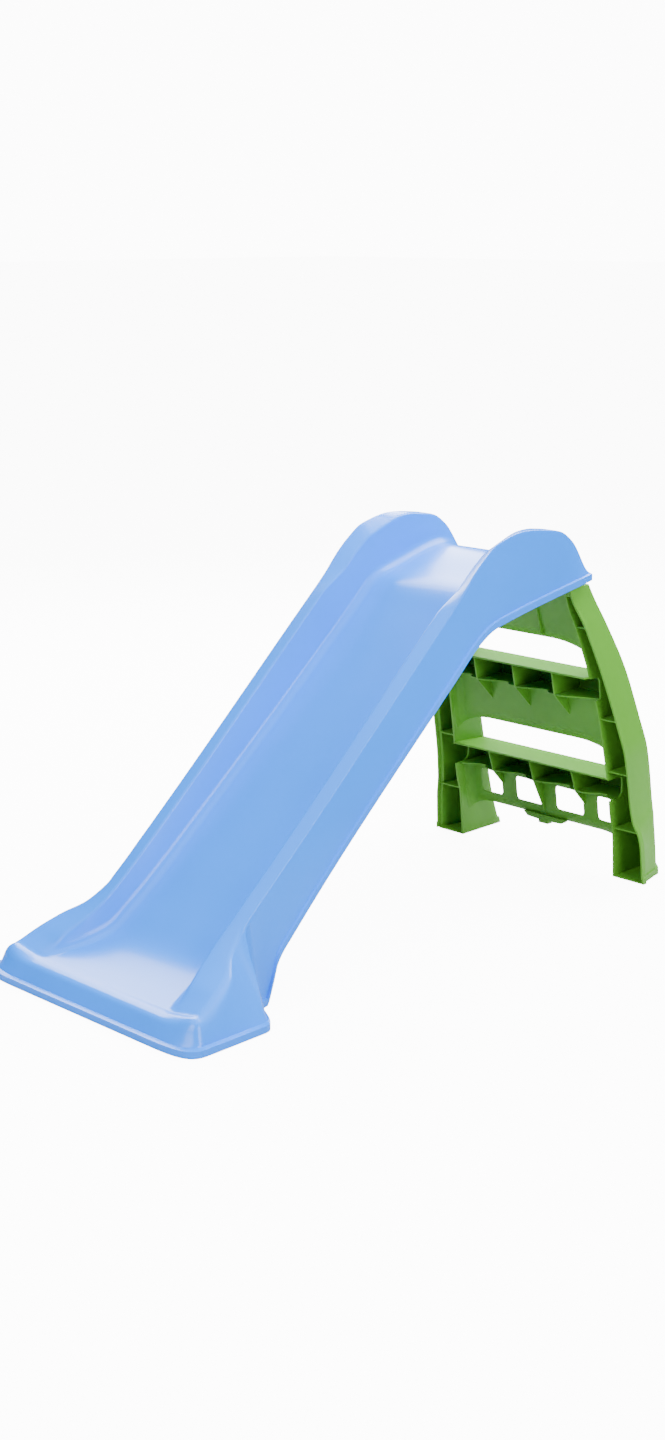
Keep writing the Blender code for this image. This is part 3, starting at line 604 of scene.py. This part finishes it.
def build_step(name, step, finish):
    """A hollow tread: top and nosing, a scalloped shelf below, and gussets that stiffen it."""
    front, back, shelf = step["front"], step["back"], step["shelf"]
    top, rear_top, shelf_front = step["top"], step["rear_top"], step["shelf_front"]
    centre = (back - NOSE_RADIUS, rear_top - NOSE_RADIUS)
    outline = ([(front, top)] + arc(centre, NOSE_RADIUS, 76, 0, 10)
               + [(back, shelf - 0.0006), (back - STEP_PLATE, shelf - 0.0006)]
               + arc(centre, NOSE_RADIUS - STEP_PLATE, 0, 76, 10) + [(front, top - STEP_PLATE)])
    shelf_middle = shelf + STEP_PLATE / 2
    tread = slab_mesh(name + "_tread", [outline], 2 * STEP_REACH, "X", [0.0])
    edge = shelf_edge(step["gussets"], shelf_front, back - 0.0010, step["sweeps"])
    plate = slab_mesh(name + "_shelf", [edge], SHELF_PLATE, "Z", [shelf_middle])
    for mesh, overlap in ((tread, 0.0016), (plate, 0.0012)):
        for vertex in mesh.vertices:
            vertex.co.x *= (smooth(vertex.co.z, RAIL_IN_X) + overlap) / STEP_REACH
    made = add_piece(name + "_tread", tread, "ladder", (name,), finish)
    round_edges(made, NOSE_ROUND)
    made = add_piece(name + "_shelf", plate, "ladder", (), finish)
    round_edges(made, THIN_ROUND)
    ribs = []
    for x, tip in step["gussets"]:
        skin = [(panel_y(step["panel"], z), z) for z in (tip, shelf)]
        ribs.append([(front + 0.003, top - 0.0015), (shelf_front - 0.0015, shelf_middle)] + skin
                    + [(back - 0.0015, shelf + 0.001), (back - 0.0015, rear_top - 0.006),
                       (back - 0.007, rear_top - 0.0012)])
    places = [x for x, tip in step["gussets"]]
    made = add_piece(name + "_gussets", slab_mesh(name + "_gussets", ribs, RIB_WALL, "X", places),
                     "ladder", (), finish)
    round_edges(made, THIN_ROUND)


def build_catch(finish):
    """The tab under the lower panel that holds the ladder when it is folded away."""
    outline = [(-0.045, 0.0655), (-0.036, 0.0575), (-0.012, 0.0560), (-0.012, 0.0510),
               (0.008, 0.0510), (0.008, 0.0560), (0.036, 0.0575), (0.045, 0.0655)]
    low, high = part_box("storage_catch")
    mesh = slab_mesh("catch_tab", [outline], high.y - low.y, "Y", [(low.y + high.y) / 2])
    made = add_piece("catch_tab", mesh, "ladder", ("storage_catch",), finish)
    round_edges(made, THICK_ROUND)


def build_ladder(finish):
    for side in (1, -1):
        build_rail(side, finish)
    build_panels(finish)
    build_step("step_lower", STEP_LOWER, finish)
    build_step("step_upper", STEP_UPPER, finish)
    build_catch(finish)


# ---------------------------------------------------------------- materials
BLUE = (0.0010, 0.215, 0.940)
GREEN = (0.086, 0.295, 0.024)
PIN_WHITE = (0.80, 0.80, 0.78)


def plastic(name, colour, roughness, grain_scale, grain_depth, coat):
    """Moulded plastic: a solid colour, a faint uneven tone, and a fine grain in the surface."""
    made = bpy.data.materials.new(name)
    made.use_nodes = True
    nodes, links = made.node_tree.nodes, made.node_tree.links
    shader = nodes["Principled BSDF"]
    place = nodes.new("ShaderNodeTexCoord")
    tone = nodes.new("ShaderNodeTexNoise")
    tone.inputs["Scale"].default_value = 6.0
    tone.inputs["Detail"].default_value = 2.0
    ramp = nodes.new("ShaderNodeValToRGB")
    ramp.color_ramp.elements[0].position = 0.3
    ramp.color_ramp.elements[1].position = 0.7
    ramp.color_ramp.elements[0].color = [c * 0.96 for c in colour] + [1.0]
    ramp.color_ramp.elements[1].color = [min(1.0, c * 1.03) for c in colour] + [1.0]
    grain = nodes.new("ShaderNodeTexNoise")
    grain.inputs["Scale"].default_value = grain_scale
    grain.inputs["Detail"].default_value = 3.0
    bump = nodes.new("ShaderNodeBump")
    bump.inputs["Strength"].default_value = 0.25
    bump.inputs["Distance"].default_value = grain_depth
    links.new(place.outputs["Object"], tone.inputs["Vector"])
    links.new(place.outputs["Object"], grain.inputs["Vector"])
    links.new(tone.outputs["Fac"], ramp.inputs["Fac"])
    links.new(ramp.outputs["Color"], shader.inputs["Base Color"])
    links.new(grain.outputs["Fac"], bump.inputs["Height"])
    links.new(bump.outputs["Normal"], shader.inputs["Normal"])
    shader.inputs["Roughness"].default_value = roughness
    shader.inputs["IOR"].default_value = 1.5
    shader.inputs["Coat Weight"].default_value = coat
    shader.inputs["Coat Roughness"].default_value = 0.12
    shader.inputs["Specular IOR Level"].default_value = 0.22
    return made


# ---------------------------------------------------------------- floor, light and camera
AMBIENT = 0.08              # strength of the light from all round
BACKDROP = 12.0             # what the camera sees behind the floor
FLOOR_GLOW = 11.0           # what the camera sees of the floor besides the light that falls on it
FLOOR_GREY = (0.50, 0.50, 0.50, 1.0)
# Each light: its place, the side of its square, and its watts.
LIGHTS = {"top_front": ((-0.3, -0.6, 2.6), 2.4, 42.0), "top_rear": ((0.9, 0.5, 2.6), 2.0, 36.0),
          "front": ((0.3, -2.4, 1.8), 1.6, 86.0), "right": ((2.6, -0.2, 1.5), 1.4, 93.0),
          "back": ((0.0, 1.6, 2.2), 1.6, 130.0), "back_left": ((-1.8, 1.2, 1.8), 1.6, 138.0)}
LIGHT_AIM = (0.0, 0.0, 0.25)


def build_floor():
    """A pale floor that the camera sees as near white."""
    mesh = bpy.data.meshes.new("floor")
    bm = bmesh.new()
    bmesh.ops.create_grid(bm, x_segments=1, y_segments=1, size=40.0)
    bm.to_mesh(mesh)
    bm.free()
    floor = bpy.data.objects.new("floor", mesh)
    bpy.context.scene.collection.objects.link(floor)
    finish = bpy.data.materials.new("pale_floor")
    finish.use_nodes = True
    shader = finish.node_tree.nodes["Principled BSDF"]
    shader.inputs["Base Color"].default_value = FLOOR_GREY
    shader.inputs["Roughness"].default_value = 0.85
    shader.inputs["Emission Color"].default_value = (1.0, 1.0, 1.0, 1.0)
    rays = finish.node_tree.nodes.new("ShaderNodeLightPath")
    glow = finish.node_tree.nodes.new("ShaderNodeMath")
    glow.operation = "MULTIPLY"
    glow.inputs[1].default_value = FLOOR_GLOW
    finish.node_tree.links.new(rays.outputs["Is Camera Ray"], glow.inputs[0])
    finish.node_tree.links.new(glow.outputs["Value"], shader.inputs["Emission Strength"])
    mesh.materials.append(finish)
    floor.location.z = -0.0005


def area_light(name, place, side, watts):
    """A square soft light that shines at the middle of the object."""
    data = bpy.data.lights.new(name, "AREA")
    data.size = side
    data.energy = watts
    light = bpy.data.objects.new(name, data)
    bpy.context.scene.collection.objects.link(light)
    light.location = place
    light.rotation_mode = "QUATERNION"
    light.rotation_quaternion = (Vector(LIGHT_AIM) - Vector(place)).to_track_quat("-Z", "Y")


def build_light():
    """Large soft lights, a little light from all round, and a paler backdrop for the camera."""
    world = bpy.data.worlds.new("studio")
    world.use_nodes = True
    nodes, links = world.node_tree.nodes, world.node_tree.links
    nodes["Background"].inputs["Color"].default_value = (1.0, 1.0, 1.0, 1.0)
    nodes["Background"].inputs["Strength"].default_value = AMBIENT
    backdrop = nodes.new("ShaderNodeBackground")
    backdrop.inputs["Color"].default_value = (1.0, 1.0, 1.0, 1.0)
    backdrop.inputs["Strength"].default_value = BACKDROP
    rays = nodes.new("ShaderNodeLightPath")
    mix = nodes.new("ShaderNodeMixShader")
    links.new(rays.outputs["Is Camera Ray"], mix.inputs["Fac"])
    links.new(nodes["Background"].outputs["Background"], mix.inputs[1])
    links.new(backdrop.outputs["Background"], mix.inputs[2])
    links.new(mix.outputs["Shader"], nodes["World Output"].inputs["Surface"])
    bpy.context.scene.world = world
    for name, (place, side, watts) in LIGHTS.items():
        area_light(name + "_light", place, side, watts)


def build_camera():
    """The camera at the picture's viewing angle."""
    data = bpy.data.cameras.new("camera")
    data.sensor_width = 36.0
    data.lens = 48.75
    data.shift_y = 0.045
    camera = bpy.data.objects.new("camera", data)
    bpy.context.scene.collection.objects.link(camera)
    camera.location = (1.9388, -2.0122, 1.0202)
    camera.rotation_euler = (math.radians(90 - 16.154), 0.0, math.radians(44.698))
    bpy.context.scene.camera = camera


blue = plastic("blue_plastic", BLUE, 0.28, 900.0, 0.00003, 0.15)
green = plastic("green_plastic", GREEN, 0.42, 1400.0, 0.00005, 0.0)
white = plastic("pin_plastic", PIN_WHITE, 0.40, 1400.0, 0.00003, 0.0)
build_slide(blue)
build_ladder(green)
for name in ("pivot_pin_left", "pivot_pin_right"):
    pin = frame["nodes"][name]
    pin.data.materials.clear()
    pin.data.materials.append(white)
build_floor()
build_light()
build_camera()
